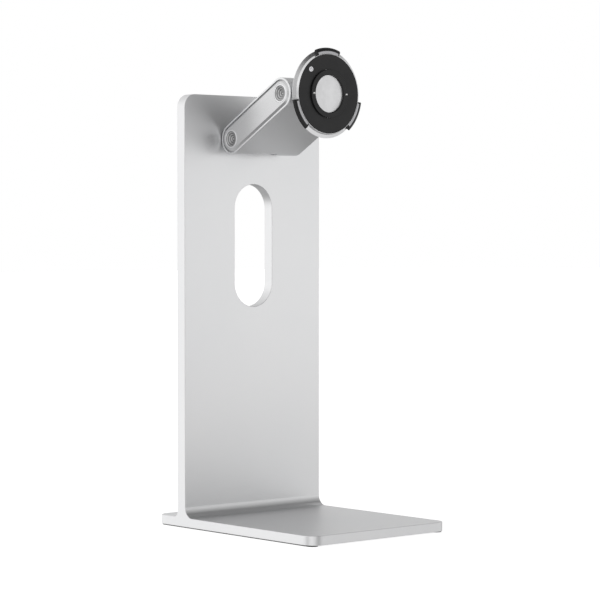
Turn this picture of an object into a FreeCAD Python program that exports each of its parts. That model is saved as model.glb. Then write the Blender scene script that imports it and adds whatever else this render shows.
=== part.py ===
import FreeCAD, Part
import Sketcher
import math
import os
import re

# Counterbalanced desktop display stand, in millimetres: +X right, +Y back, +Z up.
# The origin is the middle of the base, on the surface that it stands on.
# The head faces -Y. "Depth" below is the distance behind the head's front face.

Vector = FreeCAD.Vector
Rotation = FreeCAD.Rotation

SIZES = {
    # base and upright, one piece of aluminium plate
    "base_width": 187.0, "base_depth": 250.0, "base_thick": 9.6, "foot_lift": 1.2,
    "upright_front": 76.0, "upright_thick": 12.7, "top_height": 453.5,
    "plan_corner": 14.0, "top_corner": 14.0, "front_fillet": 11.0, "rear_fillet": 6.5,
    "eased_edge": 0.5,
    "slot_middle": 295.3, "slot_length": 130.5, "slot_width": 51.5,
    # rubber strips under the base
    "strip_offset": 85.0, "strip_length": 243.0, "strip_width": 12.0, "strip_thick": 2.0,
    "strip_play": 0.15,
    # arm: pivots, swing and section
    "pivot_gap": 17.0, "pivot_height": 407.3, "arm_length": 90.3, "arm_rise": 29.4,
    "lift_travel": 86.3, "tilt_up": 25.0, "tilt_down": 5.0,
    "arm_radius": 16.2, "arm_width": 89.0, "shell_inside": 13.6, "shell_seat": 14.2,
    "seat_start": 30.0, "rim_round": 0.8, "window_reach": 30.0,
    "neck_half": 5.0, "neck_swing": 25.5, "lower_window": 28.6, "upper_window": 53.4,
    # shafts and bearings
    "axle_radius": 3.98, "axle_bore": 4.0, "running_bore": 4.04, "axle_start": 5.0,
    "axle_end": 38.4, "clip_start": 36.0, "clip_thick": 1.0, "clip_radius": 6.2,
    "clip_groove": 3.4, "clip_play": 0.05, "clip_turn": 310.0,
    "plate_radius": 14.1, "plate_thick": 5.0, "bush_radius": 6.0, "bush_bore": 6.05,
    "bush_flange": 8.0, "bush_flange_thick": 1.4,
    "tie_radius": 2.0, "tie_bore": 2.1, "tie_drop": 6.5, "tie_first": 30.0, "tie_last": 60.0,
    "tie_end": 38.0, "nut_radius": 4.0, "nut_thick": 2.9, "plate_window": 7.0,
    # side caps and pivot buttons
    "cap_radius": 14.05, "cap_start": 41.0, "cap_face": 45.0, "cap_bevel": 2.8,
    "cap_bevel_depth": 1.7, "cap_skirt": 12.3, "cap_bore": 9.75, "cap_play": 0.05,
    "button_radius": 9.65, "button_lip": 10.6, "button_start": 39.6, "button_bevel": 0.25,
    "dish_radius": 8.2, "dish_depth": 3.6, "dimple_radius": 1.5, "dimple_depth": 0.6,
    # counterbalance springs
    "spring_radius": 9.9, "spring_wire": 1.1, "spring_start": 15.4, "spring_pitch": 2.7,
    "spring_height": 10.8,
    # wall bracket
    "seat_half": 27.0, "seat_rise": 13.0, "seat_depth": 6.0, "seat_play": 0.1,
    "cheek_in": 4.6, "cheek_out": 13.6, "drum_radius": 12.8, "drum_slot": 3.0,
    "screw_across": 20.5, "screw_rise": 7.5, "screw_head": 3.5, "screw_head_thick": 2.7,
    "screw_counterbore": 3.8, "screw_seat": 3.0, "screw_radius": 1.95, "screw_bore": 2.0,
    "screw_clear": 2.2, "screw_reach": 4.6, "screw_hole": 5.0, "screw_socket": 1.7, "screw_socket_deep": 1.5,
    # levelling link
    "crank_radius": 8.5, "crank_pin": 1.8, "crank_bore": 1.83, "link_bore": 1.87,
    "link_open_bore": 2.1, "link_half": 4.0, "link_thick": 8.0,
    # level hub and tilt bracket
    "hub_radius": 12.4, "hub_out": 10.2, "hub_web_top": 2.0, "hub_web_back": 4.0,
    "washer_start": 10.25, "washer_thick": 1.1, "washer_radius": 11.0,
    "lug_in": 11.4, "lug_out": 26.0, "knuckle_radius": 13.2,
    "face_reach": 24.8, "plate_front": 5.3, "plate_back": 8.3, "head_plate": 34.0,
    "spindle_radius": 11.0, "spindle_top": 3.35,
    "thrust_inner": 13.0, "thrust_outer": 20.0, "thrust_front": 5.04, "thrust_back": 5.9,
    "keeper_radius": 16.0, "keeper_front": 2.3, "keeper_circle": 6.0, "keeper_bore": 1.2,
    "keeper_screw": 1.15, "keeper_head": 2.2, "keeper_head_top": 1.2, "keeper_reach": 6.5,
    "keeper_socket": 1.0, "keeper_socket_deep": 0.7,
    # rotor: dish, face plate, boss and lugs
    "rotor_bore": 11.06, "rotor_floor": 3.4, "rotor_well": 16.6, "rotor_step": 2.0,
    "rotor_shelf": 1.2, "rotor_recess": 40.85, "rim_front": 0.25, "rim_radius": 41.1,
    "rim_foot": 2.6, "rim_foot_radius": 42.0, "flange_edge": 4.4, "flange_radius": 45.5,
    "rotor_back": 5.0, "rotor_bevel": 0.25,
    "face_inner": 24.8, "face_outer": 40.8, "face_bevel": 0.2,
    "boss_inner": 19.4, "boss_outer": 24.65, "boss_proud": 2.0, "boss_ledge": 17.0,
    "boss_ledge_top": 1.0, "boss_bevel": 0.2, "boss_relief": 0.3, "boss_neck": 24.4,
    "disc_radius": 19.3, "disc_top": 0.07, "disc_bevel": 0.15,
    "dowel_circle": 22.15, "dowel_radius": 0.75, "dowel_bore": 0.77, "dowel_proud": 4.0,
    "dowel_deep": 0.5, "dowel_tip": 0.4, "dowel_hole": 2.5,
    "magnet_circle": 32.5, "magnet_radius": 2.8, "magnet_bore": 2.85, "magnet_thick": 1.9,
    "magnet_deep": 2.0,
    "lug_ledge": 0.8, "ledge_outer": 43.8, "lug_top": 0.1, "lug_crest": 44.6,
    "lug_bevel_end": 46.3, "lug_bevel_depth": 0.6, "lug_outer": 47.4, "lug_side_top": 2.0,
    "lug_side_low": 2.7, "lug_foot": 45.4, "lug_arc": 41.0,
    "wear_top": 0.3, "wear_inner": 41.4, "wear_outer": 43.75, "wear_arc": 36.6,
    # lock pin and its spring
    "lock_circle": 34.4, "lock_angle": 135.0, "lock_radius": 2.75, "lock_hole": 2.85,
    "lock_proud": 0.7, "lock_collar": 3.5, "lock_well": 3.6, "lock_collar_top": 1.3,
    "lock_collar_low": 2.1, "lock_floor": 4.4, "lock_bevel": 0.3, "lock_dome": 0.5,
    "lock_dome_flat": 0.7, "lock_dome_radius": 1.5, "lock_groove": 0.3, "lock_ring": 1.8,
    "disc_spring_top": 2.15, "disc_spring_step": 0.5,
    "disc_spring_thick": 0.2, "disc_spring_inner": 1.8, "disc_spring_outer": 3.3,
    # rotation lock slider on the back of the head
    "slide_rise": 24.0, "slide_travel": 6.0, "slide_plate_half": 5.4, "slide_plate_rise": 2.5,
    "slide_plate_front": 5.5, "slide_plate_back": 6.5, "slide_stem_half": 3.0,
    "slide_stem_rise": 1.5, "slide_knob_half": 6.0, "slide_knob_rise": 2.6,
    "slide_knob_front": 8.45, "slide_knob_back": 10.2, "slide_play": 0.2, "slide_rib": 0.5,
}

# Pivot and head positions, as formulas of the sheet
LOWER = ("0", "(upright_front - pivot_gap)", "pivot_height")
UPPER = ("0", "(upright_front - pivot_gap - arm_length * cos(arm_rise))",
         "(pivot_height + arm_length * sin(arm_rise))")
FACE = ("0", UPPER[1][:-1] + " - face_reach)", UPPER[2])
CRANK_TURN = "(90 - arm_rise + lift_travel / 2)"
CRANK = ("0", "crank_radius * cos(%s)" % CRANK_TURN, "crank_radius * sin(%s)" % CRANK_TURN)
SIDES = (("left", -1), ("right", 1))

doc = FreeCAD.newDocument("display_stand")
sheet = doc.addObject("Spreadsheet::Sheet", "sizes")
for row, (alias, number) in enumerate(SIZES.items(), start=1):
    sheet.set("A%d" % row, alias)
    sheet.set("B%d" % row, str(number))
    sheet.setAlias("B%d" % row, alias)
doc.recompute()

nodes = []


# ---------------------------------------------------------------- helpers

def bound(formula):
    """The formula with each alias written as a reference to the sheet."""
    def reference(word):
        return "sizes." + word.group() if word.group() in SIZES else word.group()
    return re.sub(r"[a-z]+(_[a-z]+)*", reference, str(formula))


def bind(thing, formulas):
    for name, formula in formulas.items():
        thing.setExpression(name, bound(formula))


def plus(first, second):
    """Sum of two points given as formulas."""
    return tuple("%s + %s" % pair for pair in zip(first, second))


def place(thing, point):
    names = ("Placement.Base.x", "Placement.Base.y", "Placement.Base.z")
    bind(thing, dict(zip(names, point)))


def keep(thing, label):
    """Marks an object as a finished sub-part."""
    thing.Label = label
    nodes.append(thing)
    return thing


def raise_with_arm(thing, point=LOWER):
    """Places a piece that is drawn with the arm level, and lifts it to the arm's angle."""
    thing.Placement = FreeCAD.Placement(Vector(), Rotation(Vector(1, 0, 0), 1))
    place(thing, point)
    bind(thing, {"Placement.Rotation.Angle": "-arm_rise"})


# ---- PartDesign

def new_body(name):
    return doc.addObject("PartDesign::Body", name)


def new_sketch(body, name, role, offset="0"):
    """Sketch on one of the body's own origin planes, moved along its normal."""
    sketch = body.newObject("Sketcher::SketchObject", name)
    plane = [feature for feature in body.Origin.OriginFeatures if feature.Role == role][0]
    sketch.AttachmentSupport = [(plane, "")]
    sketch.MapMode = "FlatFace"
    bind(sketch, {"AttachmentOffset.Base.z": offset})
    return sketch


def dimension(sketch, formula, kind, *where):
    index = sketch.addConstraint(Sketcher.Constraint(kind, *where, 1.0))
    sketch.setExpression("Constraints[%d]" % index, bound(formula))


def pin(sketch, geometry, point, spot):
    """Fixes a point of a sketch at a spot given as two formulas."""
    dimension(sketch, spot[0], "DistanceX", -1, 1, geometry, point)
    dimension(sketch, spot[1], "DistanceY", -1, 1, geometry, point)


def outline(sketch, corners):
    """Closed outline through the corners, each a pair of formulas."""
    count = len(corners)
    ring = [Vector(math.cos(step), math.sin(step), 0)
            for step in (2 * math.pi * number / count for number in range(count))]
    lines = [sketch.addGeometry(Part.LineSegment(ring[number], ring[(number + 1) % count]))
             for number in range(count)]
    for number, line in enumerate(lines):
        following = lines[(number + 1) % count]
        sketch.addConstraint(Sketcher.Constraint("Coincident", line, 2, following, 1))
    for line, corner in zip(lines, corners):
        pin(sketch, line, 1, corner)


def circle(sketch, middle, radius):
    ring = sketch.addGeometry(Part.Circle(Vector(), Vector(0, 0, 1), 1.0))
    dimension(sketch, radius, "Radius", ring)
    pin(sketch, ring, 3, middle)


def stadium(sketch, first, last, radius, upright=False):
    """Two half circles joined by straight sides. first is the lower or left centre."""
    normal = Vector(0, 0, 1)
    turn = 0 if upright else -math.pi / 2
    reach = Vector(0, 4, 0) if upright else Vector(4, 0, 0)
    side = Vector(1, 0, 0) if upright else Vector(0, -1, 0)
    start = Part.ArcOfCircle(Part.Circle(Vector(), normal, 1.0), math.pi + turn, 2 * math.pi + turn)
    end = Part.ArcOfCircle(Part.Circle(reach, normal, 1.0), turn, math.pi + turn)
    pieces = [sketch.addGeometry(start),
              sketch.addGeometry(Part.LineSegment(side, side + reach)),
              sketch.addGeometry(end),
              sketch.addGeometry(Part.LineSegment(reach - side, -side))]
    for number, piece in enumerate(pieces):
        following = pieces[(number + 1) % 4]
        sketch.addConstraint(Sketcher.Constraint("Tangent", piece, 2, following, 1))
    sketch.addConstraint(Sketcher.Constraint("Equal", pieces[0], pieces[2]))
    dimension(sketch, radius, "Radius", pieces[0])
    pin(sketch, pieces[0], 3, first)
    pin(sketch, pieces[2], 3, last)


def pad(body, sketch, length, midplane=False, backwards=False):
    feature = body.newObject("PartDesign::Pad", sketch.Name + "_pad")
    feature.Profile = sketch
    feature.Midplane = midplane
    feature.Reversed = backwards
    bind(feature, {"Length": length})
    doc.recompute()
    return feature


def pocket(body, sketch, depth=None, midplane=False, backwards=False):
    """Cuts a sketch from the body, through everything if no depth is given."""
    before = body.Shape.Volume
    feature = body.newObject("PartDesign::Pocket", sketch.Name + "_pocket")
    feature.Profile = sketch
    feature.Midplane = midplane
    feature.Reversed = backwards
    if depth is None:
        feature.Type = 1
    else:
        bind(feature, {"Length": depth})
    doc.recompute()
    if body.Shape.Volume > before - 0.01:
        raise RuntimeError(sketch.Name + " cuts nothing")
    return feature


def edge_names(shape, spots):
    """Name of the edge nearest to each spot."""
    names = []
    for spot in spots:
        vertex = Part.Vertex(Vector(*spot))
        gaps = [edge.distToShape(vertex)[0] for edge in shape.Edges]
        names.append("Edge%d" % (gaps.index(min(gaps)) + 1))
    return names


def sharp_edges(shape, smallest=30.0):
    """Names of the edges where two faces meet at more than the smallest angle."""
    names = []
    for number, edge in enumerate(shape.Edges, start=1):
        faces = shape.ancestorsOfType(edge, Part.Face)
        if len(faces) != 2:
            continue
        middle = edge.valueAt((edge.FirstParameter + edge.LastParameter) / 2)
        normals = [face.normalAt(*face.Surface.parameter(middle)) for face in faces]
        if math.degrees(normals[0].getAngle(normals[1])) > smallest:
            names.append("Edge%d" % number)
    return names


def round_edges(body, name, edges, radius, kind="PartDesign::Fillet"):
    base = body.Tip
    feature = body.newObject(kind, name)
    feature.Base = (base, edges)
    bind(feature, {"Radius" if kind.endswith("Fillet") else "Size": radius})
    doc.recompute()
    return feature


def turned(name, corners, axis, angle=360, point=("0", "0", "0")):
    """Turned piece about X or Y: each corner is its distance along the axis and its radius."""
    body = new_body(name)
    sketch = new_sketch(body, name + "_profile", "XY_Plane")
    outline(sketch, [corner if axis == "X" else corner[::-1] for corner in corners])
    feature = body.newObject("PartDesign::Revolution", name + "_turning")
    feature.Profile = sketch
    feature.ReferenceAxis = (sketch, ["H_Axis" if axis == "X" else "V_Axis"])
    feature.Midplane = angle != 360
    bind(feature, {"Angle": angle})
    place(body, point)
    doc.recompute()
    return body


# ---- Part primitives

TURN = {"X": Rotation(Vector(0, 1, 0), 90), "Y": Rotation(Vector(1, 0, 0), -90), "Z": Rotation()}


def block(name, low, size):
    thing = doc.addObject("Part::Box", name)
    bind(thing, dict(zip(("Length", "Width", "Height"), size)))
    place(thing, low)
    return thing


def rod(name, axis, start, length, radius):
    thing = doc.addObject("Part::Cylinder", name)
    thing.Placement = FreeCAD.Placement(Vector(), TURN[axis])
    bind(thing, {"Radius": radius, "Height": length})
    place(thing, start)
    return thing


def hexagon(name, axis, start, length, radius):
    thing = doc.addObject("Part::Prism", name)
    thing.Polygon = 6
    thing.Placement = FreeCAD.Placement(Vector(), TURN[axis])
    bind(thing, {"Circumradius": radius, "Height": length})
    place(thing, start)
    return thing


def joined(name, *things):
    thing = doc.addObject("Part::MultiFuse", name)
    thing.Shapes = list(things)
    thing.Refine = True
    return thing


def cut(name, base, *tools):
    thing = doc.addObject("Part::Cut", name)
    thing.Base = base
    thing.Tool = tools[0] if len(tools) == 1 else joined(name + "_tools", *tools)
    thing.Refine = True
    return thing


def group(name, things):
    """Several separate solids that share one node."""
    thing = doc.addObject("Part::Compound", name)
    thing.Links = list(things)
    return thing


def coil(name, radius, wire, pitch, height, start, axis):
    """Round wire wound left-handed along an axis from its start point."""
    helix = doc.addObject("Part::Helix", name + "_line")
    helix.LocalCoord = "Left-handed"
    bind(helix, {"Radius": radius, "Pitch": pitch, "Height": height})
    section = doc.addObject("Part::Circle", name + "_section")
    section.Placement = FreeCAD.Placement(Vector(), Rotation(Vector(1, 0, 0), 90))
    bind(section, {"Radius": wire, "Placement.Base.x": radius})
    thing = doc.addObject("Part::Sweep", name)
    thing.Sections = [section]
    thing.Spine = (helix, ["Edge1"])
    thing.Solid = True
    thing.Frenet = True
    thing.Placement = FreeCAD.Placement(Vector(), TURN[axis])
    place(thing, start)
    return thing


# ---------------------------------------------------------------- base and upright

def stand_frame():
    body = new_body("stand_frame")
    side_view = new_sketch(body, "frame_side", "YZ_Plane")
    deck = "foot_lift + base_thick"
    rear = "upright_front + upright_thick"
    outline(side_view, [
        ("-base_depth / 2", "foot_lift"), ("base_depth / 2", "foot_lift"),
        ("base_depth / 2", deck), (rear, deck), (rear, "top_height"),
        ("upright_front", "top_height"), ("upright_front", deck), ("-base_depth / 2", deck)])
    pad(body, side_view, "base_width", midplane=True)

    half = SIZES["base_width"] / 2
    deep = SIZES["base_depth"] / 2
    low = SIZES["foot_lift"] + SIZES["base_thick"]
    front = SIZES["upright_front"]
    back = front + SIZES["upright_thick"]
    round_edges(body, "inner_fillet_front", edge_names(body.Shape, [(0, front, low)]), "front_fillet")
    round_edges(body, "inner_fillet_rear", edge_names(body.Shape, [(0, back, low)]), "rear_fillet")
    middle = SIZES["foot_lift"] + SIZES["base_thick"] / 2
    base_corners = [(x, y, middle) for x in (-half, half) for y in (-deep, deep)]
    round_edges(body, "base_corners", edge_names(body.Shape, base_corners), "plan_corner")
    top_corners = [(x, (front + back) / 2, SIZES["top_height"]) for x in (-half, half)]
    round_edges(body, "top_corners", edge_names(body.Shape, top_corners), "top_corner")

    slot = new_sketch(body, "cable_slot", "XZ_Plane", "-upright_front - upright_thick / 2")
    half_run = "(slot_length - slot_width) / 2"
    stadium(slot, ("0", "slot_middle - " + half_run), ("0", "slot_middle + " + half_run),
            "slot_width / 2", upright=True)
    pocket(body, slot, "3 * upright_thick", midplane=True)
    round_edges(body, "eased_edges", sharp_edges(body.Shape), "eased_edge")

    seat = new_sketch(body, "bracket_seat", "XZ_Plane", "-upright_front")
    outline(seat, [("%d * seat_half" % x, "pivot_height + %d * seat_rise" % z)
                   for x, z in ((-1, -1), (1, -1), (1, 1), (-1, 1))])
    pocket(body, seat, "seat_depth")
    holes = new_sketch(body, "bracket_threads", "XZ_Plane", "-upright_front - seat_depth")
    for x in (-1, 1):
        for z in (-1, 1):
            circle(holes, ("%d * screw_across" % x, "pivot_height + %d * screw_rise" % z),
                   "screw_bore")
    pocket(body, holes, "screw_hole")

    grooves = new_sketch(body, "strip_grooves", "XY_Plane", "foot_lift")
    run = "(strip_length - strip_width) / 2"
    for side in (-1, 1):
        across = "%d * strip_offset" % side
        stadium(grooves, (across, "-" + run), (across, run), "strip_width / 2 + strip_play",
                upright=True)
    pocket(body, grooves, "strip_thick - foot_lift", backwards=True)
    keep(body, "stand_frame")


def foot_strips():
    run = "(strip_length - strip_width) / 2"
    for name, side in SIDES:
        body = new_body("foot_strip_" + name)
        sketch = new_sketch(body, "strip_plan_" + name, "XY_Plane")
        stadium(sketch, ("0", "-" + run), ("0", run), "strip_width / 2", upright=True)
        pad(body, sketch, "strip_thick")
        rim = edge_names(body.Shape, [(SIZES["strip_width"] / 2, 0, 0)])
        round_edges(body, "strip_rim_" + name, rim, "eased_edge")
        place(body, ("%d * strip_offset" % side, "0", "0"))
        keep(body, "foot_strip_" + name)


# ---------------------------------------------------------------- wall bracket

def wall_bracket():
    plate = block("bracket_plate",
                  ("-seat_half + seat_play", "upright_front", "pivot_height - seat_rise + seat_play"),
                  ("2 * (seat_half - seat_play)", "seat_depth", "2 * (seat_rise - seat_play)"))
    neck = block("bracket_neck", ("-cheek_out", LOWER[1], "pivot_height - neck_half"),
                 ("2 * cheek_out", "pivot_gap", "2 * neck_half"))
    drum = rod("bracket_drum", "X", plus(LOWER, ("-cheek_out", "0", "0")), "2 * cheek_out",
               "drum_radius")
    tools = [block("bracket_slot", plus(LOWER, ("-cheek_in", "-shell_inside", "-shell_inside")),
                   ("2 * cheek_in", "shell_inside + drum_slot", "2 * shell_inside")),
             rod("bracket_axle_bore", "X", plus(LOWER, ("-cheek_out", "0", "0")), "2 * cheek_out",
                 "axle_bore"),
             rod("bracket_crank_bore", "X", plus(plus(LOWER, CRANK), ("-cheek_out", "0", "0")),
                 "2 * cheek_out", "crank_bore")]
    for number, spot in enumerate(bracket_screw_spots()):
        tools.append(rod("bracket_hole_%d" % number, "Y", spot, "seat_depth", "screw_clear"))
        tools.append(rod("bracket_counterbore_%d" % number, "Y", spot, "screw_seat",
                         "screw_counterbore"))
    keep(cut("wall_bracket", joined("bracket_body", plate, neck, drum), *tools), "wall_bracket")


def bracket_screw_spots():
    return [("%d * screw_across" % x, "upright_front", "pivot_height + %d * screw_rise" % z)
            for x in (-1, 1) for z in (-1, 1)]


def bracket_screws():
    screws = []
    for number, spot in enumerate(bracket_screw_spots()):
        head_start = plus(spot, ("0", "screw_seat - screw_head_thick", "0"))
        head = rod("screw_head_%d" % number, "Y", head_start, "screw_head_thick", "screw_head")
        shank = rod("screw_shank_%d" % number, "Y", plus(spot, ("0", "screw_seat", "0")),
                    "seat_depth - screw_seat + screw_reach", "screw_radius")
        socket = hexagon("screw_socket_%d" % number, "Y", head_start, "screw_socket_deep",
                         "screw_socket")
        screws.append(cut("screw_%d" % number, joined("screw_body_%d" % number, head, shank), socket))
    keep(group("bracket_screws", screws), "bracket_screws")


# ---------------------------------------------------------------- shafts

def axles(end, centre):
    """The two stub shafts of one pivot, with a groove for a circlip near each outer end."""
    for name, side in SIDES:
        label = "%s_axle_%s" % (end, name)
        groove = ("clip_start - clip_play", "clip_start + clip_thick + clip_play")
        corners = [("axle_start", "0"), ("axle_start", "axle_radius"), (groove[0], "axle_radius"),
                   (groove[0], "clip_groove"), (groove[1], "clip_groove"),
                   (groove[1], "axle_radius"), ("axle_end", "axle_radius"), ("axle_end", "0")]
        keep(turned(label, mirrored(corners, side), "X", point=centre), label)
        label = "%s_circlip_%s" % (end, name)
        ring = [("clip_start", "clip_groove + clip_play"), ("clip_start", "clip_radius"),
                ("clip_start + clip_thick", "clip_radius"),
                ("clip_start + clip_thick", "clip_groove + clip_play")]
        keep(turned(label, mirrored(ring, side), "X", angle="clip_turn", point=centre), label)


def mirrored(corners, side):
    """The corners with their distance along the axis on the given side of the middle."""
    return [("%d * (%s)" % (side, along), radius) for along, radius in corners]


def crank_pin(label, centre, half):
    pin_rod = rod(label, "X", plus(plus(centre, CRANK), ("-%s" % half, "0", "0")), "2 * " + half,
                  "crank_pin")
    keep(pin_rod, label)


# ---------------------------------------------------------------- arm

def window_corners(first, last, centre):
    """Fan about a pivot from one angle to the other, through the shell's round end."""
    steps = 4
    corners = [(centre, "0")]
    for step in range(steps + 1):
        angle = "(%s) + ((%s) - (%s)) * %d / %d" % (first, last, first, step, steps)
        corners.append(("%s + window_reach * cos(%s)" % (centre, angle),
                        "window_reach * sin(%s)" % angle))
    return corners


def arm_shell():
    body = new_body("arm_shell")
    first = ("-arm_length", "0")
    last = ("0", "0")
    section = new_sketch(body, "shell_section", "YZ_Plane")
    stadium(section, first, last, "arm_radius")
    pad(body, section, "arm_width", midplane=True)
    half = SIZES["arm_width"] / 2
    midway = -SIZES["arm_length"] / 2
    rims = edge_names(body.Shape, [(x, midway, SIZES["arm_radius"]) for x in (-half, half)])
    round_edges(body, "shell_rims", rims, "rim_round")
    bore = new_sketch(body, "shell_bore", "YZ_Plane")
    stadium(bore, first, last, "shell_inside")
    pocket(body, bore, "2 * arm_width", midplane=True)
    for name, side in SIDES:
        seat = new_sketch(body, "shell_seat_" + name, "YZ_Plane", "%d * seat_start" % side)
        stadium(seat, first, last, "shell_seat")
        pocket(body, seat, "arm_width", backwards=side > 0)
    lower = new_sketch(body, "lower_window", "YZ_Plane")
    outline(lower, window_corners("arm_rise - lift_travel - neck_swing", "arm_rise + neck_swing",
                                  "0"))
    pocket(body, lower, "lower_window", midplane=True)
    upper = new_sketch(body, "upper_window", "YZ_Plane")
    outline(upper, window_corners("180 + arm_rise - lift_travel - tilt_up - neck_swing",
                                  "180 + arm_rise + tilt_down + neck_swing", "-arm_length"))
    pocket(body, upper, "upper_window", midplane=True)
    raise_with_arm(body)
    keep(body, "arm_shell")


def bearing_plates():
    for name, side in SIDES:
        body = new_body("bearing_plate_" + name)
        sketch = new_sketch(body, "plate_outline_" + name, "YZ_Plane", "%d * seat_start" % side)
        stadium(sketch, ("-arm_length", "0"), ("0", "0"), "plate_radius")
        pad(body, sketch, "plate_thick", backwards=side < 0)
        holes = new_sketch(body, "plate_holes_" + name, "YZ_Plane")
        circle(holes, ("0", "0"), "bush_bore")
        circle(holes, ("-arm_length", "0"), "bush_bore")
        circle(holes, ("-arm_length / 2", "tie_drop / 2"), "plate_window")
        circle(holes, ("-tie_first", "-tie_drop"), "tie_bore")
        circle(holes, ("-tie_last", "-tie_drop"), "tie_bore")
        pocket(body, holes, "arm_width", midplane=True)
        raise_with_arm(body)
        keep(body, "bearing_plate_" + name)


def bushes():
    corners = [("seat_start - bush_flange_thick", "running_bore"),
               ("seat_start - bush_flange_thick", "bush_flange"), ("seat_start", "bush_flange"),
               ("seat_start", "bush_radius"), ("seat_start + plate_thick", "bush_radius"),
               ("seat_start + plate_thick", "running_bore")]
    for end, centre in (("lower", LOWER), ("upper", UPPER)):
        for name, side in SIDES:
            label = "%s_bush_%s" % (end, name)
            keep(turned(label, mirrored(corners, side), "X", point=centre), label)


def tie_rods():
    rods = []
    nuts = []
    for number, along in enumerate(("tie_first", "tie_last")):
        spot = ("0", "-" + along, "-tie_drop")
        rods.append(rod("tie_rod_%d" % number, "X", plus(spot, ("-tie_end", "0", "0")),
                        "2 * tie_end", "tie_radius"))
        for name, side in SIDES:
            start = "seat_start + plate_thick" if side > 0 else "-seat_start - plate_thick - nut_thick"
            blank = hexagon("nut_%s_%d" % (name, number), "X", plus(spot, (start, "0", "0")),
                            "nut_thick", "nut_radius")
            bore = rod("nut_bore_%s_%d" % (name, number), "X", plus(spot, (start, "0", "0")),
                       "nut_thick", "tie_radius + clip_play")
            nuts.append(cut("nut_cut_%s_%d" % (name, number), blank, bore))
    for label, things in (("tie_rods", rods), ("tie_rod_nuts", nuts)):
        thing = group(label, things)
        raise_with_arm(thing)
        keep(thing, label)


def side_caps():
    first = ("-arm_length", "0")
    last = ("0", "0")
    for name, side in SIDES:
        body = new_body("side_cap_" + name)
        face = new_sketch(body, "cap_outline_" + name, "YZ_Plane", "%d * cap_start" % side)
        stadium(face, first, last, "cap_radius")
        pad(body, face, "cap_face - cap_start", backwards=side < 0)
        spot = (side * SIZES["cap_face"], -SIZES["arm_length"] / 2, SIZES["cap_radius"])
        bevel = round_edges(body, "cap_edge_" + name, edge_names(body.Shape, [spot]),
                            "cap_bevel_depth", "PartDesign::Chamfer")
        bevel.ChamferType = "Two distances"
        bind(bevel, {"Size2": "cap_bevel"})
        skirt = new_sketch(body, "cap_skirt_" + name, "YZ_Plane", "%d * cap_start" % side)
        stadium(skirt, first, last, "cap_radius")
        stadium(skirt, first, last, "cap_skirt")
        pad(body, skirt, "cap_start - seat_start - plate_thick - cap_play", backwards=side > 0)
        bores = new_sketch(body, "cap_bores_" + name, "YZ_Plane")
        circle(bores, first, "cap_bore")
        circle(bores, last, "cap_bore")
        pocket(body, bores, "2 * arm_width", midplane=True)
        raise_with_arm(body)
        keep(body, "side_cap_" + name)


def pivot_buttons():
    lip = "cap_start - cap_play"
    bottom = "cap_face - dish_depth"
    corners = [("button_start", "0"), ("button_start", "button_lip"), (lip, "button_lip"),
               (lip, "button_radius"), ("cap_face - button_bevel", "button_radius"),
               ("cap_face", "button_radius - button_bevel"), ("cap_face", "dish_radius"),
               (bottom, "dimple_radius"), (bottom + " - dimple_depth", "0")]
    for end, centre in (("lower", LOWER), ("upper", UPPER)):
        for name, side in SIDES:
            label = "%s_pivot_button_%s" % (end, name)
            keep(turned(label, mirrored(corners, side), "X", point=centre), label)


def torsion_springs():
    for name, side in SIDES:
        start = "spring_start" if side > 0 else "-spring_start - spring_height"
        thing = coil("torsion_spring_" + name, "spring_radius", "spring_wire", "spring_pitch",
                     "spring_height", plus(LOWER, (start, "0", "0")), "X")
        keep(thing, "torsion_spring_" + name)


# ---------------------------------------------------------------- levelling link and hub

def level_link():
    body = new_body("level_link")
    section = new_sketch(body, "link_outline", "YZ_Plane")
    stadium(section, ("-arm_length", "0"), ("0", "0"), "link_half")
    pad(body, section, "link_thick", midplane=True)
    holes = new_sketch(body, "link_holes", "YZ_Plane")
    circle(holes, ("0", "0"), "link_bore")
    circle(holes, ("-arm_length", "0"), "link_open_bore")
    pocket(body, holes, "2 * link_thick", midplane=True)
    raise_with_arm(body, plus(LOWER, CRANK))
    keep(body, "level_link")


def level_hub():
    drum = rod("hub_drum", "X", plus(UPPER, ("-hub_out", "0", "0")), "2 * hub_out", "hub_radius")
    over = block("hub_slot_over", plus(UPPER, ("-cheek_in", "-shell_inside", "-hub_web_top")),
                 ("2 * cheek_in", "2 * shell_inside", "shell_inside + hub_web_top"))
    behind = block("hub_slot_behind", plus(UPPER, ("-cheek_in", "hub_web_back", "-shell_inside")),
                   ("2 * cheek_in", "shell_inside", "2 * shell_inside"))
    bore = rod("hub_axle_bore", "X", plus(UPPER, ("-hub_out", "0", "0")), "2 * hub_out", "axle_bore")
    crank = rod("hub_crank_bore", "X", plus(plus(UPPER, CRANK), ("-hub_out", "0", "0")),
                "2 * hub_out", "crank_bore")
    keep(cut("level_hub", drum, over, behind, bore, crank), "level_hub")


# ---------------------------------------------------------------- tilt bracket

def friction_washers():
    corners = [("washer_start", "running_bore"), ("washer_start", "washer_radius"),
               ("washer_start + washer_thick", "washer_radius"),
               ("washer_start + washer_thick", "running_bore")]
    for name, side in SIDES:
        label = "friction_washer_" + name
        keep(turned(label, mirrored(corners, side), "X", point=UPPER), label)


def keeper_spots():
    return [("keeper_circle * cos(%d)" % angle, "0", "keeper_circle * sin(%d)" % angle)
            for angle in (90, 210, 330)]


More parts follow.
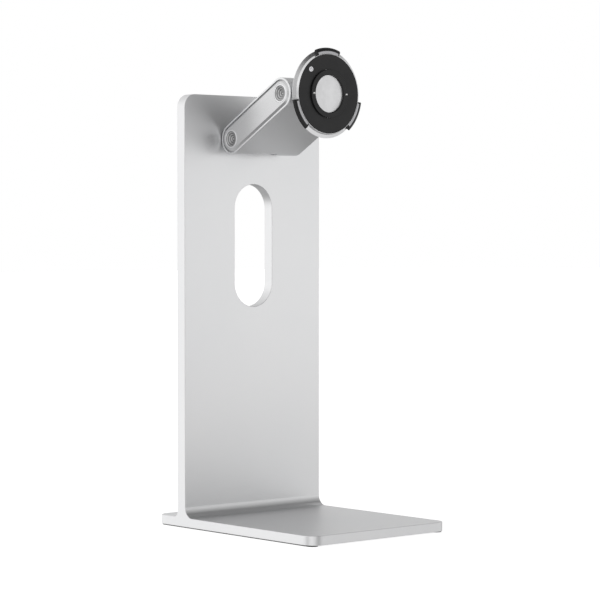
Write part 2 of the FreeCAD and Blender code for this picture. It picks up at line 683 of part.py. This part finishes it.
def tilt_bracket():
    plate = rod("tilt_plate", "Y", plus(FACE, ("0", "plate_front", "0")),
                "plate_back - plate_front", "head_plate")
    spindle = rod("tilt_spindle", "Y", plus(FACE, ("0", "spindle_top", "0")),
                  "plate_back - spindle_top", "spindle_radius")
    solids = [plate, spindle]
    tools = []
    for name, side in SIDES:
        start = "lug_in" if side > 0 else "-lug_out"
        solids.append(block("tilt_neck_" + name,
                            plus(FACE, (start, "plate_front", "-neck_half")),
                            ("lug_out - lug_in", "face_reach - plate_front", "2 * neck_half")))
        solids.append(rod("tilt_knuckle_" + name, "X", plus(UPPER, (start, "0", "0")),
                          "lug_out - lug_in", "knuckle_radius"))
        tools.append(rod("tilt_bore_" + name, "X", plus(UPPER, (start, "0", "0")),
                         "lug_out - lug_in", "running_bore"))
    groove = rod("thrust_groove_outside", "Y", plus(FACE, ("0", "plate_front", "0")),
                 "thrust_back - plate_front", "thrust_outer + seat_play")
    core = rod("thrust_groove_inside", "Y", plus(FACE, ("0", "plate_front", "0")),
               "thrust_back - plate_front", "thrust_inner - seat_play")
    tools.append(cut("thrust_groove", groove, core))
    for number, spot in enumerate(keeper_spots()):
        tools.append(rod("keeper_thread_%d" % number, "Y",
                         plus(FACE, plus(spot, ("0", "spindle_top", "0"))),
                         "keeper_reach - spindle_top", "keeper_bore"))
    tools.append(block("slide_recess",
                       plus(FACE, ("-slide_plate_half - slide_play", "plate_front",
                                   "slide_rise - slide_plate_rise - slide_play")),
                       ("2 * (slide_plate_half + slide_play) + slide_travel",
                        "slide_plate_back + slide_play - plate_front",
                        "2 * (slide_plate_rise + slide_play)")))
    tools.append(block("slide_slot",
                       plus(FACE, ("-slide_stem_half - slide_play", "plate_front",
                                   "slide_rise - slide_stem_rise - slide_play")),
                       ("2 * (slide_stem_half + slide_play) + slide_travel",
                        "plate_back - plate_front", "2 * (slide_stem_rise + slide_play)")))
    keep(cut("tilt_bracket", joined("tilt_body", *solids), *tools), "tilt_bracket")


def thrust_ring():
    corners = [("thrust_front", "thrust_inner"), ("thrust_front", "thrust_outer"),
               ("thrust_back", "thrust_outer"), ("thrust_back", "thrust_inner")]
    keep(turned("thrust_ring", corners, "Y", point=FACE), "thrust_ring")


def keeper_plate():
    blank = rod("keeper_blank", "Y", plus(FACE, ("0", "keeper_front", "0")),
                "spindle_top - keeper_front", "keeper_radius")
    holes = [rod("keeper_hole_%d" % number, "Y", plus(FACE, plus(spot, ("0", "keeper_front", "0"))),
                 "spindle_top - keeper_front", "keeper_bore")
             for number, spot in enumerate(keeper_spots())]
    keep(cut("keeper_plate", blank, *holes), "keeper_plate")
    screws = []
    for number, spot in enumerate(keeper_spots()):
        top = plus(FACE, plus(spot, ("0", "keeper_head_top", "0")))
        head = rod("keeper_head_%d" % number, "Y", top, "keeper_front - keeper_head_top",
                   "keeper_head")
        shank = rod("keeper_shank_%d" % number, "Y", top, "keeper_reach - keeper_head_top",
                    "keeper_screw")
        socket = hexagon("keeper_socket_%d" % number, "Y", top, "keeper_socket_deep",
                         "keeper_socket")
        screws.append(cut("keeper_screw_%d" % number,
                          joined("keeper_screw_body_%d" % number, head, shank), socket))
    keep(group("keeper_screws", screws), "keeper_screws")


def lock_slider():
    plate = block("slide_plate",
                  plus(FACE, ("-slide_plate_half", "slide_plate_front",
                              "slide_rise - slide_plate_rise")),
                  ("2 * slide_plate_half", "slide_plate_back - slide_plate_front",
                   "2 * slide_plate_rise"))
    keep(plate, "slide_plate")
    stem = block("slider_stem",
                 plus(FACE, ("-slide_stem_half", "slide_plate_back",
                             "slide_rise - slide_stem_rise")),
                 ("2 * slide_stem_half", "slide_knob_back - slide_plate_back",
                  "2 * slide_stem_rise"))
    knob = block("slider_knob",
                 plus(FACE, ("-slide_knob_half", "slide_knob_front",
                             "slide_rise - slide_knob_rise")),
                 ("2 * slide_knob_half", "slide_knob_back - slide_knob_front",
                  "2 * slide_knob_rise"))
    grooves = [rod("slider_groove_%d" % number, "Z",
                   plus(FACE, ("%d * slide_knob_half / 3" % number, "slide_knob_back + slide_rib / 4",
                               "slide_rise - slide_knob_rise")),
                   "2 * slide_knob_rise", "slide_rib")
               for number in (-2, -1, 0, 1, 2)]
    keep(cut("lock_slider", joined("slider_body", stem, knob), *grooves), "lock_slider")


# ---------------------------------------------------------------- rotor

LOCK = ("lock_circle * cos(lock_angle)", "0", "lock_circle * sin(lock_angle)")
MAGNETS = 12


def rotor_dish():
    corners = [("rotor_floor", "rotor_bore"), ("rotor_floor", "rotor_well"),
               ("rotor_step", "rotor_well"), ("rotor_step", "face_inner"),
               ("rotor_shelf", "face_inner"), ("rotor_shelf", "rotor_recess"),
               ("rim_front", "rotor_recess"), ("rim_front", "rim_radius"),
               ("rim_foot", "rim_foot_radius"), ("flange_edge", "flange_radius"),
               ("rotor_back - rotor_bevel", "flange_radius"),
               ("rotor_back", "flange_radius - rotor_bevel"), ("rotor_back", "rotor_bore")]
    body = turned("rotor_dish", corners, "Y", point=FACE)
    well = new_sketch(body, "lock_well", "XZ_Plane", "-rotor_shelf")
    circle(well, (LOCK[0], LOCK[2]), "lock_well")
    pocket(body, well, "lock_floor - rotor_shelf")
    seat = new_sketch(body, "magnet_seat", "XZ_Plane", "-rotor_shelf")
    circle(seat, ("magnet_circle", "0"), "magnet_bore")
    first = pocket(body, seat, "magnet_deep")
    pattern = body.newObject("PartDesign::PolarPattern", "magnet_seats")
    pattern.Originals = [first]
    pattern.Axis = (seat, ["N_Axis"])
    pattern.Angle = 360
    pattern.Occurrences = MAGNETS
    body.Tip = pattern
    doc.recompute()
    keep(body, "rotor_dish")


def magnets():
    discs = []
    for number in range(MAGNETS):
        angle = "%d * 360 / %d" % (number, MAGNETS)
        spot = plus(FACE, ("magnet_circle * cos(%s)" % angle,
                           "rotor_shelf + magnet_deep - magnet_thick",
                           "magnet_circle * sin(%s)" % angle))
        discs.append(rod("magnet_%d" % number, "Y", spot, "magnet_thick", "magnet_radius"))
    keep(group("ring_magnets", discs), "ring_magnets")


def face_plate():
    corners = [("0", "face_inner"), ("0", "face_outer - face_bevel"), ("face_bevel", "face_outer"),
               ("rotor_shelf", "face_outer"), ("rotor_shelf", "face_inner")]
    body = turned("face_plate", corners, "Y", point=FACE)
    hole = new_sketch(body, "lock_hole", "XZ_Plane")
    circle(hole, (LOCK[0], LOCK[2]), "lock_hole")
    pocket(body, hole, "2 * rotor_shelf")
    keep(body, "face_plate")


def boss_ring():
    corners = [("boss_ledge_top", "boss_ledge"), ("boss_ledge_top", "boss_inner"),
               ("-boss_proud + boss_bevel", "boss_inner"), ("-boss_proud", "boss_inner + boss_bevel"),
               ("-boss_proud", "boss_outer - boss_bevel"), ("-boss_proud + boss_bevel", "boss_outer"),
               ("-boss_relief", "boss_outer"), ("-boss_relief", "boss_neck"),
               ("rotor_step", "boss_neck"), ("rotor_step", "boss_ledge")]
    body = turned("boss_ring", corners, "Y", point=FACE)
    holes = new_sketch(body, "dowel_holes", "XZ_Plane", "boss_proud")
    for side in (-1, 1):
        circle(holes, ("%d * dowel_circle" % side, "0"), "dowel_bore")
    pocket(body, holes, "dowel_hole")
    keep(body, "boss_ring")
    for name, side in SIDES:
        pin_corners = [("-dowel_proud", "0"), ("-dowel_proud", "dowel_radius - dowel_tip"),
                       ("-dowel_proud + dowel_tip", "dowel_radius"), ("-dowel_deep", "dowel_radius"),
                       ("-dowel_deep", "0")]
        label = "dowel_pin_" + name
        spot = plus(FACE, ("%d * dowel_circle" % side, "0", "0"))
        keep(turned(label, pin_corners, "Y", point=spot), label)


def centre_disc():
    corners = [("disc_top", "0"), ("disc_top", "disc_radius - disc_bevel"),
               ("disc_top + disc_bevel", "disc_radius"), ("boss_ledge_top", "disc_radius"),
               ("boss_ledge_top", "0")]
    keep(turned("centre_disc", corners, "Y", point=FACE), "centre_disc")


def flange_depth(radius):
    """Depth of the sloping flange face at a radius."""
    slope = "(flange_edge - rim_foot) / (flange_radius - rim_foot_radius)"
    return "rim_foot + (%s - rim_foot_radius) * %s" % (radius, slope)


def rim_wall(depth):
    """Radius of the rim's leaning wall at a depth."""
    lean = "(rim_foot_radius - rim_radius) / (rim_foot - rim_front)"
    return "rim_radius + (%s - rim_front) * %s" % (depth, lean)


def bayonet_lugs():
    profile = [("rim_foot", "rim_foot_radius"), ("lug_ledge", rim_wall("lug_ledge")),
               ("lug_ledge", "ledge_outer"), ("lug_top", "ledge_outer"), ("lug_top", "lug_crest"),
               ("lug_bevel_depth", "lug_bevel_end"), ("lug_side_top", "lug_outer"),
               ("lug_side_low", "lug_outer"), (flange_depth("lug_foot"), "lug_foot")]
    strip = [("lug_ledge", "wear_inner"), ("wear_top", "wear_inner"), ("wear_top", "wear_outer"),
             ("lug_ledge", "wear_outer")]
    pieces = (("bayonet_lug_", profile, "lug_arc"), ("wear_strip_", strip, "wear_arc"))
    for name, angle in (("top", 90), ("left", 210), ("right", 330)):
        for label, corners, arc in pieces:
            body = turned(label + name, corners, "Y", angle=arc)
            body.Placement = FreeCAD.Placement(Vector(), Rotation(Vector(0, 1, 0), -angle))
            place(body, FACE)
            keep(body, label + name)


def lock_pin():
    tip = "-lock_proud"
    corners = [(tip + " - lock_dome", "0"), (tip + " - lock_dome", "lock_dome_flat"),
               (tip, "lock_dome_radius"), (tip + " + lock_groove", "lock_dome_radius"),
               (tip + " + lock_groove", "lock_ring"), (tip, "lock_ring"),
               (tip, "lock_radius - lock_bevel"), (tip + " + lock_bevel", "lock_radius"),
               ("lock_collar_top", "lock_radius"), ("lock_collar_top", "lock_collar"),
               ("lock_collar_low", "lock_collar"), ("lock_collar_low", "0")]
    spot = plus(FACE, LOCK)
    keep(turned("lock_pin", corners, "Y", point=spot), "lock_pin")
    front = [("disc_spring_top + %d * disc_spring_step" % step,
              "disc_spring_outer" if step % 2 else "disc_spring_inner") for step in range(5)]
    back = [(depth + " + disc_spring_thick", radius) for depth, radius in reversed(front)]
    keep(turned("lock_spring", front + back, "Y", point=spot), "lock_spring")


# ---------------------------------------------------------------- build, check, write

stand_frame()
foot_strips()
wall_bracket()
bracket_screws()
axles("lower", LOWER)
crank_pin("lower_crank_pin", LOWER, "cheek_out")

arm_shell()
bearing_plates()
bushes()
tie_rods()
side_caps()
pivot_buttons()
torsion_springs()

level_link()
level_hub()
axles("upper", UPPER)
crank_pin("upper_crank_pin", UPPER, "hub_out")

friction_washers()
tilt_bracket()
thrust_ring()
keeper_plate()
lock_slider()

rotor_dish()
magnets()
face_plate()
boss_ring()
centre_disc()
bayonet_lugs()
lock_pin()

doc.recompute()
for thing in doc.Objects:
    if "Invalid" in thing.State or "Error" in thing.State:
        raise RuntimeError("%s failed: %s" % (thing.Name, thing.State))
for node in nodes:
    if node.Shape.isNull() or not node.Shape.isValid():
        raise RuntimeError(node.Label + " has no valid shape")

os.makedirs("parts", exist_ok=True)
for node in nodes:
    node.Shape.exportStep("parts/%s.step" % node.Label)
print("%d nodes written" % len(nodes))
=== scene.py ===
import math
import bmesh
import bpy
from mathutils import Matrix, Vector


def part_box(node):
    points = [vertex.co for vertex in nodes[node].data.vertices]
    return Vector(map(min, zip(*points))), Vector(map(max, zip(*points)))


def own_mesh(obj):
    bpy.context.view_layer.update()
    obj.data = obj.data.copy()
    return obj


# Looks of a desktop display stand: bead-blasted aluminium, turned metal and satin black.
# Everything is in metres, +Z up, and the head faces -Y.

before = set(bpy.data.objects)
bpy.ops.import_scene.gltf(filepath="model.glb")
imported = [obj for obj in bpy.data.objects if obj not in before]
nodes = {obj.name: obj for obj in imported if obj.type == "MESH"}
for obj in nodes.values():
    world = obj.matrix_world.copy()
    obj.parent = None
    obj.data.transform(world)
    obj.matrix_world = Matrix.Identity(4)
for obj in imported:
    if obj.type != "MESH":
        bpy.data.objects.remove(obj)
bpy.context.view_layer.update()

face_low, face_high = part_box("face_plate")
FACE = (face_low + face_high) / 2
FACE.y = face_low.y
TURN = 2 * math.pi


# ---------------------------------------------------------------- camera

VIEW_AZIMUTH = math.radians(-41.05)
VIEW_DOWN = math.radians(1.745)
VIEW_PLACE = (-1.6166, -1.8559, 0.3137)
LENS = 141.5


def make_camera():
    """Long lens, level with the cable slot, to the left of the object's front."""
    data = bpy.data.cameras.new("camera")
    data.lens = LENS
    camera = bpy.data.objects.new("camera", data)
    camera.location = VIEW_PLACE
    camera.rotation_euler = (math.radians(90) - VIEW_DOWN, 0, VIEW_AZIMUTH)
    bpy.context.scene.collection.objects.link(camera)
    bpy.context.scene.camera = camera


# ---------------------------------------------------------------- materials

# A Mix node has an output for each kind of value, and this is the one for colours.
MIXED_COLOR = 2


def add_node(tree, kind, inputs=None, output=0, **options):
    """Adds a shader node with its inputs set or linked, and gives back one of its outputs."""
    made = tree.nodes.new("ShaderNode" + kind)
    for name, value in options.items():
        setattr(made, name, value)
    for name, value in (inputs or {}).items():
        socket = made.inputs[name]
        if isinstance(value, bpy.types.NodeSocket):
            tree.links.new(value, socket)
        else:
            socket.default_value = value
    return made.outputs[output] if made.outputs else None


class Recipe:
    """A material with short calls for adding and linking its nodes."""

    def __init__(self, name, color, metallic=1.0, roughness=0.4):
        self.material = bpy.data.materials.new(name)
        self.material.use_nodes = True
        self.tree = self.material.node_tree
        self.shader = self.tree.nodes["Principled BSDF"]
        self.set("Base Color", (*color, 1))
        self.set("Metallic", metallic)
        self.set("Roughness", roughness)

    def set(self, socket, value):
        self.shader.inputs[socket].default_value = value

    def node(self, kind, inputs=None, output=0, **options):
        return add_node(self.tree, kind, inputs, output, **options)

    def place(self):
        return self.node("TexCoord", None, "Object")

    def noise(self, scale, detail=2.0, roughness=0.5):
        return self.node("TexNoise", {"Vector": self.place(), "Scale": scale,
                                      "Detail": detail, "Roughness": roughness})

    def spread(self, value, low, high, start=0.3, end=0.7):
        return self.node("MapRange", {"Value": value, "From Min": start, "From Max": end,
                                      "To Min": low, "To Max": high})

    def blend(self, factor, first, second):
        return self.node("Mix", {0: factor, 6: (*first, 1), 7: (*second, 1)}, MIXED_COLOR,
                         data_type="RGBA")

    def mix_sockets(self, factor, first, second):
        return self.node("Mix", {0: factor, 6: first, 7: (*second, 1)}, MIXED_COLOR,
                         data_type="RGBA")

    def link(self, socket, value):
        self.tree.links.new(value, self.shader.inputs[socket])

    def bump(self, height, distance, strength):
        return self.node("Bump", {"Height": height, "Distance": distance, "Strength": strength})

    def edges(self, width):
        """Rises to 1 where the surface turns a corner within the given width."""
        rounded = self.node("Bevel", {"Radius": width}, samples=6)
        flat = self.node("NewGeometry", None, "Normal")
        same = self.node("VectorMath", {0: rounded, 1: flat}, "Value", operation="DOT_PRODUCT")
        return self.spread(same, 1.0, 0.0, 0.75, 0.99)

    def radius(self, centre, axis):
        """Distance from an axis through centre, for turned surfaces."""
        keep = tuple(0.0 if letter == axis else 1.0 for letter in "XYZ")
        offset = self.node("VectorMath", {0: self.place(), 1: tuple(centre)},
                           operation="SUBTRACT")
        flat = self.node("VectorMath", {0: offset, 1: keep}, operation="MULTIPLY")
        return self.node("VectorMath", {0: flat}, "Value", operation="LENGTH")

    def rings(self, centre, axis, pitch):
        """One wave for each pitch of radius: fine turning marks, or the pivot dishes' wide rings of
        painted shade.
        """
        steps = self.node("Math", {0: self.radius(centre, axis), 1: TURN / pitch},
                          operation="MULTIPLY")
        return self.node("Math", {0: steps}, operation="SINE")


# Width of the painted highlight: a lighter band of colour along every edge.
EDGE_HIGHLIGHT = 0.0007


def blasted_aluminium(name, tone, roughness):
    """Bead-blasted and anodised: a fine grain, faint cloudiness and a painted highlight along the
    edges.
    """
    recipe = Recipe(name, (tone, tone * 1.004, tone * 1.01), 1.0, roughness)
    cloud = recipe.noise(9.0, 3.0)
    grain = recipe.noise(2600.0, 2.0, 0.6)
    body = recipe.blend(recipe.spread(cloud, 0.0, 1.0), (tone, tone, tone * 1.006),
                        (tone * 0.975, tone * 0.98, tone * 0.99))
    # Painted highlight: edges are coloured lighter, standing in for the light they catch.
    edge_highlight = recipe.edges(EDGE_HIGHLIGHT)
    recipe.link("Base Color", recipe.mix_sockets(edge_highlight, body, (0.93, 0.93, 0.94)))
    recipe.link("Roughness", recipe.spread(grain, roughness - 0.04, roughness + 0.05))
    recipe.link("Normal", recipe.bump(grain, 0.00002, 0.5))
    return recipe.material


# Steps of radius between turning marks and between the pivot dishes' rings of painted shade, and
# where the pivot dishes' lip with its painted highlight begins.
FINE_PITCH = 0.00035
DISH_FINE_PITCH = 0.0004
DISH_SHADE_RING_PITCH = 0.0021
DISH_LIP_START = 0.0078
DISH_LIP_END = 0.0083


def turned_aluminium(name, centre, axis, tone=0.8, roughness=0.3):
    """Satin metal with the fine circular marks of a lathe."""
    recipe = Recipe(name, (tone, tone, tone * 1.01), 1.0, roughness)
    rings = recipe.rings(centre, axis, FINE_PITCH)
    smudge = recipe.noise(120.0, 3.0)
    recipe.link("Roughness", recipe.spread(smudge, roughness - 0.05, roughness + 0.06))
    recipe.link("Normal", recipe.bump(rings, 0.000006, 0.5))
    return recipe.material


def turned_dish(name, centre):
    """Lathe-turned dish: grooves that spread reflections across them, painted shade in wide dark
    and mid-grey rings, and a painted highlight on the lip.
    """
    recipe = Recipe(name, (0.5, 0.5, 0.5), 1.0, 0.4)
    recipe.set("Anisotropic", 0.9)
    recipe.set("Anisotropic Rotation", 0.25)
    recipe.link("Tangent", recipe.node("Tangent", direction_type="RADIAL", axis="X"))
    radius = recipe.radius(centre, "X")
    # Painted shade: wide dark and mid-grey rings of colour stand in for the dish's shading.
    shade_wave = recipe.rings(centre, "X", DISH_SHADE_RING_PITCH)
    ring_shade = recipe.blend(recipe.spread(shade_wave, 0.0, 1.0, -1.0, 1.0), (0.17, 0.17, 0.175),
                       (0.58, 0.58, 0.58))
    # Painted highlight: the lip is coloured brighter than the rings.
    lip = recipe.spread(radius, 0.0, 1.0, DISH_LIP_START, DISH_LIP_END)
    recipe.link("Base Color", recipe.mix_sockets(lip, ring_shade, (0.86, 0.86, 0.87)))
    fine = recipe.rings(centre, "X", DISH_FINE_PITCH)
    recipe.link("Normal", recipe.bump(fine, 0.000006, 0.5))
    return recipe.material


def satin_black(name, tone=0.012, roughness=0.42):
    """Black anodised metal with a fine grain."""
    recipe = Recipe(name, (tone, tone, tone * 1.06), 0.0, roughness)
    recipe.set("Specular IOR Level", 0.3)
    grain = recipe.noise(3000.0, 2.0, 0.6)
    wear = recipe.noise(60.0, 4.0)
    recipe.link("Roughness", recipe.spread(wear, roughness - 0.05, roughness + 0.07))
    recipe.link("Normal", recipe.bump(grain, 0.00002, 0.35))
    return recipe.material


def machined_steel(name, tone=0.5, roughness=0.28):
    """Ground steel with long fine scratches and a little uneven oxide."""
    recipe = Recipe(name, (tone, tone, tone * 1.03), 1.0, roughness)
    stretched = recipe.node("Mapping", {"Vector": recipe.place(), "Scale": (60.0, 2200.0, 2200.0)})
    scratches = recipe.node("TexNoise", {"Vector": stretched, "Scale": 1.0, "Detail": 2.0})
    stain = recipe.noise(45.0, 4.0)
    clean = (tone, tone, tone * 1.03)
    oxide = (tone * 0.8, tone * 0.8, tone * 0.82)
    recipe.link("Base Color", recipe.blend(recipe.spread(stain, 0.0, 1.0), clean, oxide))
    recipe.link("Roughness", recipe.spread(scratches, roughness - 0.06, roughness + 0.1))
    recipe.link("Normal", recipe.bump(scratches, 0.00001, 0.5))
    return recipe.material


def rubber(name):
    recipe = Recipe(name, (0.03, 0.03, 0.032), 0.0, 0.75)
    grain = recipe.noise(1500.0, 3.0)
    dust = recipe.noise(30.0, 4.0)
    recipe.link("Base Color", recipe.blend(recipe.spread(dust, 0.0, 1.0), (0.025, 0.025, 0.027),
                                           (0.045, 0.045, 0.046)))
    recipe.link("Roughness", recipe.spread(grain, 0.65, 0.85))
    recipe.link("Normal", recipe.bump(grain, 0.00005, 0.6))
    return recipe.material


def polymer(name, color, roughness=0.45):
    recipe = Recipe(name, color, 0.0, roughness)
    grain = recipe.noise(900.0, 3.0)
    recipe.link("Roughness", recipe.spread(grain, roughness - 0.05, roughness + 0.1))
    recipe.link("Normal", recipe.bump(grain, 0.00002, 0.4))
    return recipe.material


def bronze(name):
    recipe = Recipe(name, (0.62, 0.42, 0.2), 1.0, 0.4)
    pores = recipe.noise(1800.0, 2.0)
    tarnish = recipe.noise(80.0, 4.0)
    recipe.link("Base Color", recipe.blend(recipe.spread(tarnish, 0.0, 1.0), (0.62, 0.42, 0.2),
                                           (0.45, 0.28, 0.13)))
    recipe.link("Roughness", recipe.spread(pores, 0.32, 0.55))
    recipe.link("Normal", recipe.bump(pores, 0.00003, 0.5))
    return recipe.material


def middle(node):
    low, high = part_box(node)
    return (low + high) / 2


SIDES = ("left", "right")


def dress_nodes():
    """Gives every CAD node its material."""
    frame_metal = blasted_aluminium("frame_aluminium", 0.77, 0.4)
    arm_metal = blasted_aluminium("arm_aluminium", 0.76, 0.42)
    cap_metal = blasted_aluminium("cap_aluminium", 0.61, 0.3)
    dark_alloy = blasted_aluminium("bearing_plate_alloy", 0.6, 0.4)
    steel = machined_steel("bracket_steel", 0.5)
    axle = machined_steel("axle_steel", 0.6, 0.2)
    screw = machined_steel("screw_steel", 0.3, 0.35)
    spring = machined_steel("spring_steel", 0.36, 0.3)
    stainless = machined_steel("pin_steel", 0.78, 0.18)
    wear = machined_steel("wear_strip_steel", 0.42, 0.3)
    black = satin_black("face_black")
    boss = satin_black("boss_black", 0.01, 0.38)
    lug = satin_black("lug_black", 0.01, 0.34)
    rotor = turned_aluminium("rotor_aluminium", FACE, "Y")
    disc = turned_aluminium("disc_satin", FACE, "Y", 0.7, 0.42)
    # Painted highlight: the dowel pins are coloured near-white so they read as glints from every
    # side.
    painted_glint = polymer("dowel_painted_glint", (0.88, 0.88, 0.86), 0.3)
    friction = polymer("friction_polymer", (0.7, 0.68, 0.6))
    slider = polymer("slider_black", (0.03, 0.03, 0.032), 0.5)
    magnet = machined_steel("magnet_nickel", 0.7, 0.15)
    bushing = bronze("bush_bronze")
    feet = rubber("foot_rubber")
    looks = {
        "stand_frame": frame_metal, "wall_bracket": steel, "level_hub": steel,
        "level_link": steel, "bracket_screws": screw, "tie_rods": screw, "tie_rod_nuts": screw,
        "keeper_screws": screw, "arm_shell": arm_metal, "lower_crank_pin": axle,
        "upper_crank_pin": axle, "tilt_bracket": dark_alloy, "keeper_plate": dark_alloy,
        "slide_plate": dark_alloy, "thrust_ring": friction, "lock_slider": slider,
        "rotor_dish": rotor, "ring_magnets": magnet, "face_plate": black, "boss_ring": boss,
        "centre_disc": disc, "lock_pin": stainless, "lock_spring": spring,
    }
    for side in SIDES:
        looks["foot_strip_" + side] = feet
        looks["bearing_plate_" + side] = dark_alloy
        looks["side_cap_" + side] = cap_metal
        looks["torsion_spring_" + side] = spring
        looks["friction_washer_" + side] = friction
        looks["dowel_pin_" + side] = painted_glint
        for end in ("lower", "upper"):
            looks["%s_axle_%s" % (end, side)] = axle
            looks["%s_circlip_%s" % (end, side)] = screw
            looks["%s_bush_%s" % (end, side)] = bushing
            button = "%s_pivot_button_%s" % (end, side)
            looks[button] = turned_dish(button, middle(button))
    for place in ("top", "left", "right"):
        looks["bayonet_lug_" + place] = lug
        looks["wear_strip_" + place] = wear
    for name, material in looks.items():
        data = nodes[name].data
        data.materials.clear()
        data.materials.append(material)


# ---------------------------------------------------------------- studio

FLOOR_REACH = 12.0
FLOOR_LEVEL = -0.0002
FLOOR_GLOW = 0.75
BACKDROP_RADIUS = 16.0


def make_floor():
    """White paper that metal doesn't mirror: it mirrors the dimmer studio below the floor."""
    mesh = bpy.data.meshes.new("floor")
    corners = [(x * FLOOR_REACH, y * FLOOR_REACH, FLOOR_LEVEL)
               for x, y in ((-1, -1), (1, -1), (1, 1), (-1, 1))]
    mesh.from_pydata(corners, [], [(0, 1, 2, 3)])
    floor = bpy.data.objects.new("floor", mesh)
    bpy.context.scene.collection.objects.link(floor)
    floor.visible_glossy = False
    floor.visible_diffuse = False
    recipe = Recipe("floor_paper", (0.6, 0.6, 0.6), 0.0, 0.9)
    recipe.set("Emission Color", (1, 1, 1, 1))
    recipe.set("Emission Strength", FLOOR_GLOW)
    mesh.materials.append(recipe.material)


def make_dome():
    """White backdrop all round, for the camera only."""
    work = bmesh.new()
    bmesh.ops.create_uvsphere(work, u_segments=48, v_segments=24, radius=BACKDROP_RADIUS)
    mesh = bpy.data.meshes.new("backdrop")
    work.to_mesh(mesh)
    work.free()
    dome = bpy.data.objects.new("backdrop", mesh)
    bpy.context.scene.collection.objects.link(dome)
    dome.visible_glossy = False
    dome.visible_diffuse = False
    dome.visible_transmission = False
    dome.visible_shadow = False
    recipe = Recipe("backdrop_paper", (0, 0, 0), 0.0, 1.0)
    recipe.set("Specular IOR Level", 0.0)
    recipe.set("Emission Color", (1, 1, 1, 1))
    recipe.set("Emission Strength", 1.0)
    mesh.materials.append(recipe.material)


# How bright the studio is in each direction that the metal mirrors.
STUDIO_RIGHT_FRONT = 0.82
STUDIO_LEFT_BACK = 1.24
STUDIO_RIGHT_BACK = 0.84
STUDIO_ABOVE = 0.75
STUDIO_BELOW = 0.25
STUDIO_ABOVE_FRONT = 0.1
STUDIO_ABOVE_RIGHT = 0.6
STUDIO_BELOW_RIGHT = 0.35
STUDIO_GAP = 0.4


def make_world():
    """A soft studio: brightest at the left and back, dimmer below and at the right and back."""
    world = bpy.data.worlds.new("studio")
    bpy.context.scene.world = world
    world.use_nodes = True
    tree = world.node_tree
    tree.nodes.clear()

    def node(kind, inputs=None, output=0, **options):
        return add_node(tree, kind, inputs, output, **options)

    def towards(x, y, z):
        aim = tuple(Vector((x, y, z)).normalized())
        return node("VectorMath", {0: direction, 1: aim}, "Value", operation="DOT_PRODUCT")

    def ramp(value, start, end, low, high):
        return node("MapRange", {"Value": value, "From Min": start, "From Max": end,
                                 "To Min": low, "To Max": high}, interpolation_type="SMOOTHSTEP")

    direction = node("TexCoord", None, "Generated")
    across = ramp(towards(-0.66, 0.75, 0), -0.9, 0.9, STUDIO_RIGHT_FRONT, STUDIO_LEFT_BACK)
    right_back = ramp(towards(0.66, 0.75, 0), 0.3, 1.0, 1.0, STUDIO_RIGHT_BACK)
    above = ramp(towards(0, 0, 1), 0.2, 0.75, 1.0, STUDIO_ABOVE)
    below = ramp(towards(-0.35, 0.35, -0.87), 0.6, 0.95, 1.0, STUDIO_BELOW)
    above_front = ramp(towards(0.6, -0.7, 0.9), 0.72, 0.95, 1.0, STUDIO_ABOVE_FRONT)
    above_right = ramp(towards(0.75, 0.6, 0.7), 0.92, 0.99, 1.0, STUDIO_ABOVE_RIGHT)
    below_right = ramp(towards(0.8, 0.45, -0.8), 0.7, 0.95, 1.0, STUDIO_BELOW_RIGHT)
    front_gap = ramp(towards(0, -1, 0), 0.88, 0.99, 1.0, STUDIO_GAP)
    left_gap = ramp(towards(-1, 0, 0), 0.92, 0.99, 1.0, STUDIO_GAP)
    level = across
    for dimming in (right_back, above, below, above_front, above_right, below_right,
                    front_gap, left_gap):
        level = node("Math", {0: level, 1: dimming}, operation="MULTIPLY")
    node("OutputWorld", {"Surface": node("Background", {"Strength": level, "Color": (1, 1, 1, 1)})})


def softbox(name, location, target, width, height, brightness):
    """A soft rectangle of light that the metal mirrors, and the camera doesn't see."""
    data = bpy.data.lights.new(name, "AREA")
    data.shape = "RECTANGLE"
    data.size = width
    data.size_y = height
    data.energy = brightness * math.pi * width * height
    lamp = bpy.data.objects.new(name, data)
    lamp.location = location
    lamp.rotation_euler = (Vector(target) - Vector(location)).to_track_quat("-Z", "Y").to_euler()
    lamp.visible_camera = False
    bpy.context.scene.collection.objects.link(lamp)


KEY_PLACE = (0.6, -0.62, 0.5)
KEY_AIM = (0, 0.07, 0.5)
KEY_WIDTH = 1.0
KEY_HEIGHT = 0.9
KEY_BRIGHTNESS = 0.38


def light_studio():
    make_world()
    make_floor()
    make_dome()
    softbox("key", KEY_PLACE, KEY_AIM, KEY_WIDTH, KEY_HEIGHT, KEY_BRIGHTNESS)
    bpy.context.scene.view_settings.view_transform = "Standard"


def flatten_lock_spring():
    """Gives the lock spring its own mesh; the seat at its back edge is worked out, and the spring
    is not pressed flatter.
    """
    spring_low, spring_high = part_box("lock_spring")
    seat = (spring_low + spring_high) / 2
    seat.y = spring_high.y
    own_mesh(nodes["lock_spring"])


make_camera()
dress_nodes()
flatten_lock_spring()
light_studio()
